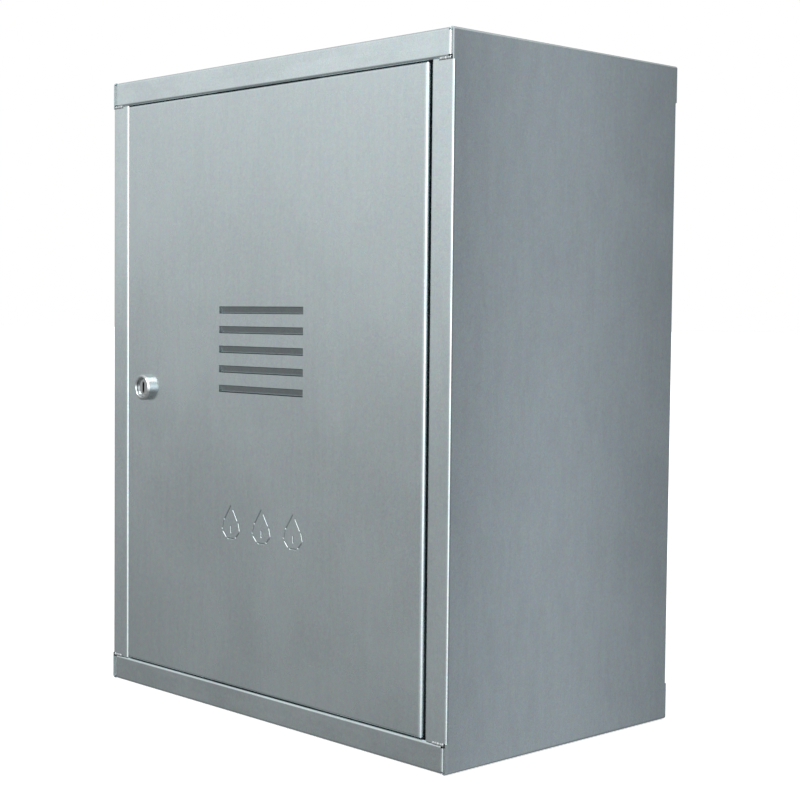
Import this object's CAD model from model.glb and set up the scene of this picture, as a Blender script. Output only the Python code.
import math

import bmesh
import bpy
from mathutils import Matrix, Vector

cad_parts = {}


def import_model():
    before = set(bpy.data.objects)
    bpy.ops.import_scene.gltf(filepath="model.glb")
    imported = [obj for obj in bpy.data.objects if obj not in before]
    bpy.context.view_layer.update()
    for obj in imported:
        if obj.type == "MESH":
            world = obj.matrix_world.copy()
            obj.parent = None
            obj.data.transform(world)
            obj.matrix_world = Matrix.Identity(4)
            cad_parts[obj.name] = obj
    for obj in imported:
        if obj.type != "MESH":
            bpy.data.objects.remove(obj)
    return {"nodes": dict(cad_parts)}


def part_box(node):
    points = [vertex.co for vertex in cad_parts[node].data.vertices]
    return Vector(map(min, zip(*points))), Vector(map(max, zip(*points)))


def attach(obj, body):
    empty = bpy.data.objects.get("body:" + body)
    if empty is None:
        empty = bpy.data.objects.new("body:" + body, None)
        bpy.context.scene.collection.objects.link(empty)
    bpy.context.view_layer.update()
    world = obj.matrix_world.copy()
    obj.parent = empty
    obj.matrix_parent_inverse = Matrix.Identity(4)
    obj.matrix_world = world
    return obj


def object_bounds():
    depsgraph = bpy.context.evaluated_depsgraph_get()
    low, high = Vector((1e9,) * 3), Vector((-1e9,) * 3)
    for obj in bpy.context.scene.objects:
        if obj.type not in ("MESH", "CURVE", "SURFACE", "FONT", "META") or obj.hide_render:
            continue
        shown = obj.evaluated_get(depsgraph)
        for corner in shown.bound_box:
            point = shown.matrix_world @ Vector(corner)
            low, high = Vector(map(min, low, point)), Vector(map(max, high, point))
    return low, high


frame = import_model()
CAD_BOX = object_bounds()
NODES = frame["nodes"]
CAD_FRONT = -0.120    # the plane of the door and the front flanges
PRESSED_HALF = 0.060  # the louvres and strokes lie within this distance of the middle


# ---- small helpers for node trees ----
class Graph:
    """Adds nodes to one tree with few words. A plain number or a socket may go into each input."""

    def __init__(self, tree, coords):
        self.tree = tree
        self.source = tree.nodes.new("ShaderNodeTexCoord")
        self.coords = self.source.outputs[coords]

    def node(self, kind, **values):
        made = self.tree.nodes.new(kind)
        for key, value in values.items():
            setattr(made, key, value)
        return made

    def link(self, a, b):
        self.tree.links.new(a, b)

    def feed(self, socket, value):
        if isinstance(value, bpy.types.NodeSocket):
            self.link(value, socket)
        elif isinstance(value, (tuple, list)) and len(value) == 3 and socket.type == "RGBA":
            socket.default_value = (*value, 1.0)
        else:
            socket.default_value = value

    def mapped(self, scale):
        node = self.node("ShaderNodeMapping")
        node.inputs["Scale"].default_value = scale
        self.link(self.coords, node.inputs["Vector"])
        return node.outputs["Vector"]

    def noise(self, scale, stretch=(1, 1, 1), detail=4.0, rough=0.55, warp=0.0):
        node = self.node("ShaderNodeTexNoise")
        node.inputs["Scale"].default_value = scale
        node.inputs["Detail"].default_value = detail
        node.inputs["Roughness"].default_value = rough
        node.inputs["Distortion"].default_value = warp
        self.link(self.mapped(stretch), node.inputs["Vector"])
        return node.outputs["Fac"]

    def cells(self, scale):
        node = self.node("ShaderNodeTexVoronoi")
        node.inputs["Scale"].default_value = scale
        self.link(self.coords, node.inputs["Vector"])
        return node.outputs["Color"]

    def math(self, operation, a, b=0.0, c=0.0):
        node = self.node("ShaderNodeMath", operation=operation)
        for socket, value in zip(node.inputs, (a, b, c)):
            self.feed(socket, value)
        return node.outputs[0]

    def dot(self, direction):
        node = self.node("ShaderNodeVectorMath", operation="DOT_PRODUCT")
        self.link(self.coords, node.inputs[0])
        node.inputs[1].default_value = direction
        return node.outputs["Value"]

    def spread(self, value, low, high, out_low=0.0, out_high=1.0, smooth=True):
        node = self.node("ShaderNodeMapRange")
        node.interpolation_type = "SMOOTHSTEP" if smooth else "LINEAR"
        self.link(value, node.inputs["Value"])
        for key, number in (("From Min", low), ("From Max", high), ("To Min", out_low), ("To Max", out_high)):
            node.inputs[key].default_value = number
        return node.outputs["Result"]

    def mix(self, factor, a, b, blend="MIX"):
        node = self.node("ShaderNodeMix", data_type="RGBA", blend_type=blend)
        for socket, value in zip([x for x in node.inputs if x.enabled], (factor, a, b)):
            self.feed(socket, value)
        return [x for x in node.outputs if x.enabled][0]

    def axis(self, letter, vector=None):
        node = self.node("ShaderNodeSeparateXYZ")
        self.link(vector or self.coords, node.inputs[0])
        return node.outputs[letter]


class Shader(Graph):
    """One material around a Principled shader."""

    def __init__(self, name):
        self.material = bpy.data.materials.new(name)
        self.material.use_nodes = True
        super().__init__(self.material.node_tree, "Object")
        self.bsdf = self.tree.nodes["Principled BSDF"]

    def set(self, **values):
        for key, value in values.items():
            self.bsdf.inputs[key.replace("_", " ")].default_value = value

    def colour(self, value):
        self.link(value, self.bsdf.inputs["Base Color"])

    def roughness(self, value):
        self.link(value, self.bsdf.inputs["Roughness"])

    def bump(self, height, distance, strength=1.0):
        node = self.node("ShaderNodeBump")
        node.inputs["Strength"].default_value = strength
        node.inputs["Distance"].default_value = distance
        self.link(height, node.inputs["Height"])
        old = self.bsdf.inputs["Normal"]
        if old.is_linked:
            self.link(old.links[0].from_socket, node.inputs["Normal"])
        self.link(node.outputs["Normal"], old)


def shaded(tint, factor):
    return [min(1.0, c * factor) for c in tint]


def pressed_in(s, depth):
    """1 on the outer side of what is pressed into the middle of the door, where dust settles, or else 0."""
    deep = s.spread(depth, CAD_FRONT + 0.00008, CAD_FRONT + 0.0004)
    middle = s.spread(s.math("ABSOLUTE", s.axis("X")), PRESSED_HALF, PRESSED_HALF + 0.004, 1.0, 0.0)
    outside = s.spread(s.axis("Y", s.source.outputs["Normal"]), -0.05, 0.05, 1.0, 0.0)
    return s.math("MULTIPLY", s.math("MULTIPLY", deep, middle), outside)


def galvanised(name, rolling, tint, rough, mottle, bow=0.0, flange=1.0, recesses=1.0):
    """Zinc-coated sheet: faint spangle, rolling marks along one direction and a dull bloom.

    bow is how far the sheet stands out along the middle of its depth, in metres. flange and recesses
    lighten the front flange and dull what is pressed into the sheet.
    """
    s = Shader(name)
    s.set(Metallic=1.0)
    bloom = s.noise(7, detail=5, warp=0.5)
    blotches = s.noise(70, stretch=[max(v, 0.35) for v in rolling], detail=5, rough=0.65)
    grain = s.noise(900, detail=2, rough=0.7)
    lines = s.noise(260, stretch=rolling, detail=3)
    shade = s.mix(s.spread(bloom, 0.3, 0.7), shaded(tint, 0.965), shaded(tint, 1.035))
    shade = s.mix(s.spread(blotches, 0.40, 0.66, 0.0, mottle), shade, shaded(tint, 0.72))
    shade = s.mix(s.spread(lines, 0.35, 0.75, 0.0, 0.14), shade, shaded(tint, 0.8))
    shade = s.mix(0.05, shade, s.cells(420))
    shade = s.mix(1.0, shade, s.math("MULTIPLY_ADD", grain, 0.30, 0.85), "MULTIPLY")
    depth = s.axis("Y")
    if flange != 1.0:
        front = s.spread(depth, CAD_FRONT + 0.0005, CAD_FRONT + 0.0030, flange, 1.0)
        shade = s.mix(1.0, shade, front, "MULTIPLY")
    if recesses != 1.0:
        kept = s.math("MULTIPLY_ADD", pressed_in(s, depth), recesses - 1.0, 1.0)
        shade = s.mix(1.0, shade, kept, "MULTIPLY")
    s.colour(shade)
    s.roughness(s.spread(bloom, 0.25, 0.75, rough[0], rough[1]))
    s.bump(s.noise(700, detail=3), 0.00002, 0.45)
    s.bump(s.noise(11, detail=1), 0.0008, 0.2)
    if bow:
        s.bump(s.math("MULTIPLY", s.math("MULTIPLY", depth, depth), -1 / CAD_FRONT ** 2), bow)
    return s.material


def plain_metal(name, tint, rough, grain=400, distance=0.00003):
    s = Shader(name)
    s.set(Metallic=1.0)
    marks = s.noise(grain, detail=4)
    s.colour(s.mix(s.spread(marks, 0.3, 0.7), [c * 0.86 for c in tint], [min(1, c * 1.06) for c in tint]))
    s.roughness(s.spread(s.noise(40, detail=4), 0.3, 0.7, rough * 0.75, rough * 1.3))
    s.bump(marks, distance, 0.6)
    return s.material


def painted(name, tint, rough=0.4, orange_peel=0.00004, coat=0.15):
    s = Shader(name)
    s.set(Metallic=0.0, Coat_Weight=coat, Coat_Roughness=0.25)
    dust = s.noise(30, detail=5)
    s.colour(s.mix(s.spread(dust, 0.35, 0.75), tint, [c * 0.9 + 0.012 for c in tint]))
    s.roughness(s.spread(dust, 0.3, 0.7, rough * 0.85, rough * 1.2))
    s.bump(s.noise(600, detail=2), orange_peel, 0.5)
    return s.material


def plastic(name, tint, rough=0.45, texture=900, depth=0.00002):
    s = Shader(name)
    s.set(Metallic=0.0, IOR=1.47)
    grain = s.noise(texture, detail=2)
    s.colour(s.mix(s.spread(grain, 0.3, 0.7), [c * 0.93 for c in tint], tint))
    s.roughness(s.spread(s.noise(50, detail=4), 0.3, 0.7, rough * 0.85, rough * 1.15))
    s.bump(grain, depth, 0.6)
    return s.material


ZINC = (0.580, 0.66, 0.68)
MATERIALS = {
    "door": galvanised("galvanised_door", (1, 1, 0.06), ZINC, (0.22, 0.30), 0.05, recesses=0.64),
    "side": galvanised("galvanised_side", (1, 1, 0.05), shaded(ZINC, 1.02), (0.18, 0.24), 0.16,
                       bow=0.0016, flange=1.09),
    "top": galvanised("galvanised_top", (0.05, 1, 1), shaded(ZINC, 1.11), (0.17, 0.23), 0.26),
    "bottom": galvanised("galvanised_bottom", (0.05, 1, 1), shaded(ZINC, 1.03), (0.17, 0.23), 0.30),
    "back": galvanised("galvanised_back", (0.05, 1, 1), shaded(ZINC, 0.97), (0.24, 0.34), 0.12),
    "zinc": plain_metal("zinc_plate", (0.62, 0.63, 0.66), 0.30),
    "chrome": plain_metal("lock_chrome", (0.56, 0.59, 0.60), 0.15, grain=900, distance=0.000006),
    "brass": plain_metal("brass", (0.74, 0.55, 0.25), 0.30),
    "dull_brass": plain_metal("dull_brass", (0.26, 0.21, 0.13), 0.45),
    "weld": plain_metal("weld_bead", (0.50, 0.53, 0.54), 0.38, grain=1400, distance=0.00012),
    "pipe": painted("gas_yellow", (0.78, 0.50, 0.02)),
    "handle": painted("handle_yellow", (0.82, 0.55, 0.02), 0.35),
    "meter": painted("meter_grey", (0.55, 0.57, 0.57), 0.42, 0.00006),
    "rubber": plastic("rubber", (0.018, 0.018, 0.019), 0.75),
    "black": plastic("black_plastic", (0.02, 0.02, 0.022), 0.5),
    "white": plastic("white_plastic", (0.72, 0.72, 0.69), 0.45),
    "unit": plastic("unit_plastic", (0.10, 0.10, 0.11), 0.5),
    "index": plastic("index_plastic", (0.70, 0.71, 0.68), 0.38),
    "dial": painted("dial_paint", (0.78, 0.78, 0.75), 0.5, 0.00001, 0.0),
    "drum_black": plastic("drum_black", (0.018, 0.018, 0.02), 0.4),
    "drum_red": plastic("drum_red", (0.42, 0.025, 0.02), 0.4),
}
window = Shader("window")
window.set(Transmission_Weight=1.0, IOR=1.49, Roughness=0.03)
window.colour(window.mix(window.noise(60), (0.93, 0.96, 0.96), (0.97, 0.98, 0.98)))
MATERIALS["window"] = window.material

USES = {
    "side": ["side_left", "side_right"], "top": ["top_pan"], "bottom": ["bottom_pan"], "back": ["back_panel"],
    "door": ["door_panel"], "weld": ["corner_welds"],
    "zinc": ["meter_bracket", "bracket_locknuts", "bracket_screws", "hinge_pins", "pin_clips",
             "lock_nut", "lock_cam", "lock_screw", "pipe_sockets", "seam_band", "handle_nut", "index_axle"],
    "chrome": ["lock_housing", "lock_plug", "valve_ball"],
    "brass": ["union_nuts", "valve_body", "valve_tailpiece", "valve_stem", "drive_bearings"],
    "dull_brass": ["lock_wafers"],
    "pipe": ["inlet_pipe", "outlet_pipe", "inlet_nipple"], "handle": ["valve_handle"],
    "meter": ["case_front", "case_rear", "meter_ports"],
    "rubber": ["pipe_seals", "union_gaskets", "diaphragms"],
    "black": ["hinge_bushes", "slide_valve_left", "slide_valve_right"],
    "white": ["valve_seats", "crank", "drive_shaft", "transfer_pinions"],
    "unit": ["chamber_body", "chamber_covers", "valve_table", "outlet_duct"],
    "index": ["index_housing"], "dial": ["index_plate"], "window": ["index_window"],
    "drum_red": [f"index_drum_{k}" for k in (1, 2, 3)],
    "drum_black": [f"index_drum_{k}" for k in (4, 5, 6, 7, 8)],
}
for key, names in USES.items():
    for node in names:
        NODES[node].data.materials.clear()
        NODES[node].data.materials.append(MATERIALS[key])


# ---- figures on the number drums ----
DRUM_CENTRE = Vector((0.0, -0.054, 0.262))
DRUM_RADIUS = 0.0085
DRUM_WIDE = 0.008
FIGURE_SIZE = 0.0058
PAINT = 0.00006       # how far the figures stand off the drum
CUTS = 6              # bands that each figure is cut into so that it bends round the drum
DIAL_END = 0.0352     # ends of the row of drums, either side of the middle
RED_START = 0.0094    # left end of the red border
BLACK_END = 0.0070    # right end of the black border
BORDER_HALF_HIGH = 0.0050
BORDER_CORNER = 0.0008


def figure(text):
    """The flat outline of one figure as a mesh in XY, centred in X."""
    curve = bpy.data.curves.new("figure", "FONT")
    curve.body = text
    curve.size = FIGURE_SIZE
    curve.align_x = "CENTER"
    curve.resolution_u = 4
    holder = bpy.data.objects.new("figure", curve)
    mesh = bpy.data.meshes.new_from_object(holder)
    bpy.data.objects.remove(holder)
    bpy.data.curves.remove(curve)
    return mesh


def drum_figures(k):
    """The figures 0 to 9 wrapped round drum k."""
    low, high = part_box(f"index_drum_{k}")
    middle = low.x + DRUM_WIDE / 2 if k == 1 else (low.x + high.x) / 2
    whole = bmesh.new()
    for value in range(10):
        part = bmesh.new()
        mesh = figure(str(value))
        part.from_mesh(mesh)
        bpy.data.meshes.remove(mesh)
        top = max(v.co.y for v in part.verts)
        for step in range(1, CUTS):
            every = part.verts[:] + part.edges[:] + part.faces[:]
            bmesh.ops.bisect_plane(part, geom=every, plane_co=(0, top * step / CUTS, 0), plane_no=(0, 1, 0))
        for vert in part.verts:
            angle = (vert.co.y - top / 2) / DRUM_RADIUS + math.radians(36 * (value - 3 * k))
            radius = DRUM_RADIUS + PAINT
            place = Vector((middle + vert.co.x, -radius * math.cos(angle), radius * math.sin(angle)))
            vert.co = place + Vector((0, DRUM_CENTRE.y, DRUM_CENTRE.z))
        done = bpy.data.meshes.new("part")
        part.to_mesh(done)
        part.free()
        whole.from_mesh(done)
        bpy.data.meshes.remove(done)
    mesh = bpy.data.meshes.new(f"drum_figures_{k}")
    whole.to_mesh(mesh)
    whole.free()
    piece = bpy.data.objects.new(f"drum_figures_{k}", mesh)
    bpy.context.scene.collection.objects.link(piece)
    mesh.materials.append(MATERIALS["figures"])
    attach(piece, f"drum_{k}")


def dial_frame(name, x0, x1, width, key):
    """A painted border on the dial, round part of the row of figures."""
    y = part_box("index_plate")[0].y - 0.00004
    bm = bmesh.new()
    rings = []
    for grow in (0.0, width):
        corners = []
        for sx, sz in ((1, 1), (-1, 1), (-1, -1), (1, -1)):
            centre_x = (x1 if sx > 0 else x0) + sx * (grow - BORDER_CORNER)
            centre_z = DRUM_CENTRE.z + sz * (BORDER_HALF_HIGH + grow - BORDER_CORNER)
            start = math.atan2(sz, sx) - math.pi / 4
            for step in range(5):
                angle = start + math.pi / 2 * step / 4
                corners.append(bm.verts.new((centre_x + BORDER_CORNER * math.cos(angle), y,
                                             centre_z + BORDER_CORNER * math.sin(angle))))
        rings.append(corners)
    count = len(rings[0])
    for k in range(count):
        bm.faces.new((rings[0][k], rings[0][(k + 1) % count], rings[1][(k + 1) % count], rings[1][k]))
    mesh = bpy.data.meshes.new(name)
    bm.to_mesh(mesh)
    bm.free()
    piece = bpy.data.objects.new(name, mesh)
    bpy.context.scene.collection.objects.link(piece)
    mesh.materials.append(MATERIALS[key])
    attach(piece, "cabinet")


MATERIALS["figures"] = painted("figure_white", (0.86, 0.86, 0.84), 0.5, 0.00001, 0.0)
MATERIALS["frame_red"] = painted("frame_red", (0.50, 0.03, 0.025), 0.45, 0.00001, 0.0)
MATERIALS["frame_black"] = painted("frame_black", (0.02, 0.02, 0.02), 0.45, 0.00001, 0.0)
for number in range(1, 9):
    drum_figures(number)
dial_frame("dial_frame_red", RED_START, DIAL_END, 0.0012, "frame_red")
dial_frame("dial_frame_black", -DIAL_END, BLACK_END, 0.0008, "frame_black")


# ---- stage, light and camera ----
def stage_material():
    s = Shader("stage_floor")
    s.set(Base_Color=(0.9, 0.9, 0.9, 1), Roughness=0.9, Specular_IOR_Level=0.1,
          Emission_Color=(1, 1, 1, 1), Emission_Strength=0.55)
    return s.material


def floor():
    mesh = bpy.data.meshes.new("stage_floor")
    size = 30.0
    z = CAD_BOX[0].z - 0.0005  # just below the cabinet, so that the two faces don't flicker
    corner_signs = ((-1, -1), (1, -1), (1, 1), (-1, 1))
    mesh.from_pydata([(sx * size, sy * size, z) for sx, sy in corner_signs], [], [(0, 1, 2, 3)])
    plane = bpy.data.objects.new("stage_floor", mesh)
    bpy.context.scene.collection.objects.link(plane)
    mesh.materials.append(stage_material())
    plane.visible_glossy = False
    plane.visible_shadow = False


def world():
    """White to the camera. To the metal it is a studio, pale above and dim below, with one soft light."""
    scene_world = bpy.data.worlds.new("studio")
    scene_world.use_nodes = True
    scene_world.node_tree.nodes.clear()
    g = Graph(scene_world.node_tree, "Generated")
    height = g.axis("Z")

    # seen by the door and the front flanges
    ramp = g.node("ShaderNodeValToRGB")
    ramp.color_ramp.interpolation = "B_SPLINE"
    g.link(g.spread(height, -0.5, 0.5, smooth=False), ramp.inputs["Fac"])
    stops = [(-0.5, 0.28), (-0.28, 0.32), (-0.20, 0.37), (-0.12, 0.41), (-0.04, 0.48), (0.02, 0.68),
             (0.10, 0.82), (0.15, 0.86), (0.3, 1.12), (0.5, 1.15)]
    elements = ramp.color_ramp.elements
    while len(elements) < len(stops):
        elements.new(0.5)
    for element, (z, level) in zip(elements, stops):
        element.position = z + 0.5
        cool = 0.03 if z < 0.0 else 0.0
        element.color = (level * (1 - cool), level, level * (1 + cool), 1)
    brighter_way = (0.636, -0.772, 0.0)
    lean = g.math("MULTIPLY_ADD", g.dot(brighter_way), 0.5, 1.0)
    front = g.math("MULTIPLY", ramp.outputs["Color"], lean)

    # seen by the right-hand side
    across_side = (0.757, -0.653, 0.0)
    peak_at, peak_width, peak_level, base_level = 0.028, 0.085, 0.36, 0.25
    offset = g.math("DIVIDE", g.math("SUBTRACT", g.dot(across_side), peak_at), peak_width)
    peak = g.math("EXPONENT", g.math("MULTIPLY", g.math("MULTIPLY", offset, offset), -1.0))
    rear = g.math("MULTIPLY_ADD", peak, peak_level, base_level)
    rear = g.mix(1.0, rear, (0.97, 1.0, 1.05), "MULTIPLY")
    rear = g.mix(g.spread(height, 0.3, 0.7), rear, front)

    behind_corner = (0.707, 0.707, 0.0)
    room = g.mix(g.spread(g.dot(behind_corner), -0.3, 0.3), front, rear)

    # the light behind the camera, which draws the bright lines along the folds
    towards_light = (0.720, -0.690, 0.08)
    light_width, light_level = 0.055, 2.6
    away = g.math("SUBTRACT", g.dot(towards_light), 1.0)
    softbox = g.math("MULTIPLY", g.math("EXPONENT", g.math("DIVIDE", away, light_width)), light_level)
    soft = g.node("ShaderNodeBackground")
    g.link(g.mix(1.0, room, softbox, "ADD"), soft.inputs["Color"])
    soft.inputs["Strength"].default_value = 1.0
    white = g.node("ShaderNodeBackground")
    white.inputs["Color"].default_value = (1, 1, 1, 1)
    path = g.node("ShaderNodeLightPath")
    choose = g.node("ShaderNodeMixShader")
    g.link(path.outputs["Is Camera Ray"], choose.inputs[0])
    g.link(soft.outputs[0], choose.inputs[1])
    g.link(white.outputs[0], choose.inputs[2])
    g.link(choose.outputs[0], g.node("ShaderNodeOutputWorld").inputs["Surface"])
    bpy.context.scene.world = scene_world


def area_light(name, place, target, size, power):
    data = bpy.data.lights.new(name, "AREA")
    data.shape = "RECTANGLE"
    data.size, data.size_y = size
    data.energy = power
    lamp = bpy.data.objects.new(name, data)
    bpy.context.scene.collection.objects.link(lamp)
    lamp.location = place
    lamp.rotation_mode = "QUATERNION"
    lamp.rotation_quaternion = (Vector(target) - Vector(place)).to_track_quat("-Z", "Y")


def camera():
    """Eye-level view of the right front corner, as a short telephoto sees it."""
    azimuth, pitch, roll = (math.radians(v) for v in (46.603, 2.945, 0.581))
    level = math.cos(pitch)
    back = Vector((math.sin(azimuth) * level, -math.cos(azimuth) * level, math.sin(pitch)))
    right = (-back).cross(Vector((0, 0, 1))).normalized()
    up = right.cross(-back)
    x_axis = right * math.cos(roll) + up * math.sin(roll)
    y_axis = up * math.cos(roll) - right * math.sin(roll)
    data = bpy.data.cameras.new("camera")
    data.lens = 73.56
    data.sensor_width = 36.0
    cam = bpy.data.objects.new("camera", data)
    bpy.context.scene.collection.objects.link(cam)
    place = Matrix((x_axis, y_axis, back)).transposed().to_4x4()
    place.translation = Vector((0.9659, -0.8901, 0.3090))
    cam.matrix_world = place
    bpy.context.scene.camera = cam


floor()
world()
camera()
area_light("key", (0.3, -1.6, 1.9), (0, 0, 0.25), (1.4, 1.0), 12)
bpy.context.scene.view_settings.view_transform = "Standard"
bpy.context.scene.view_settings.look = "None"


def corners(pair):
    return [list(pair[0]), list(pair[1])]
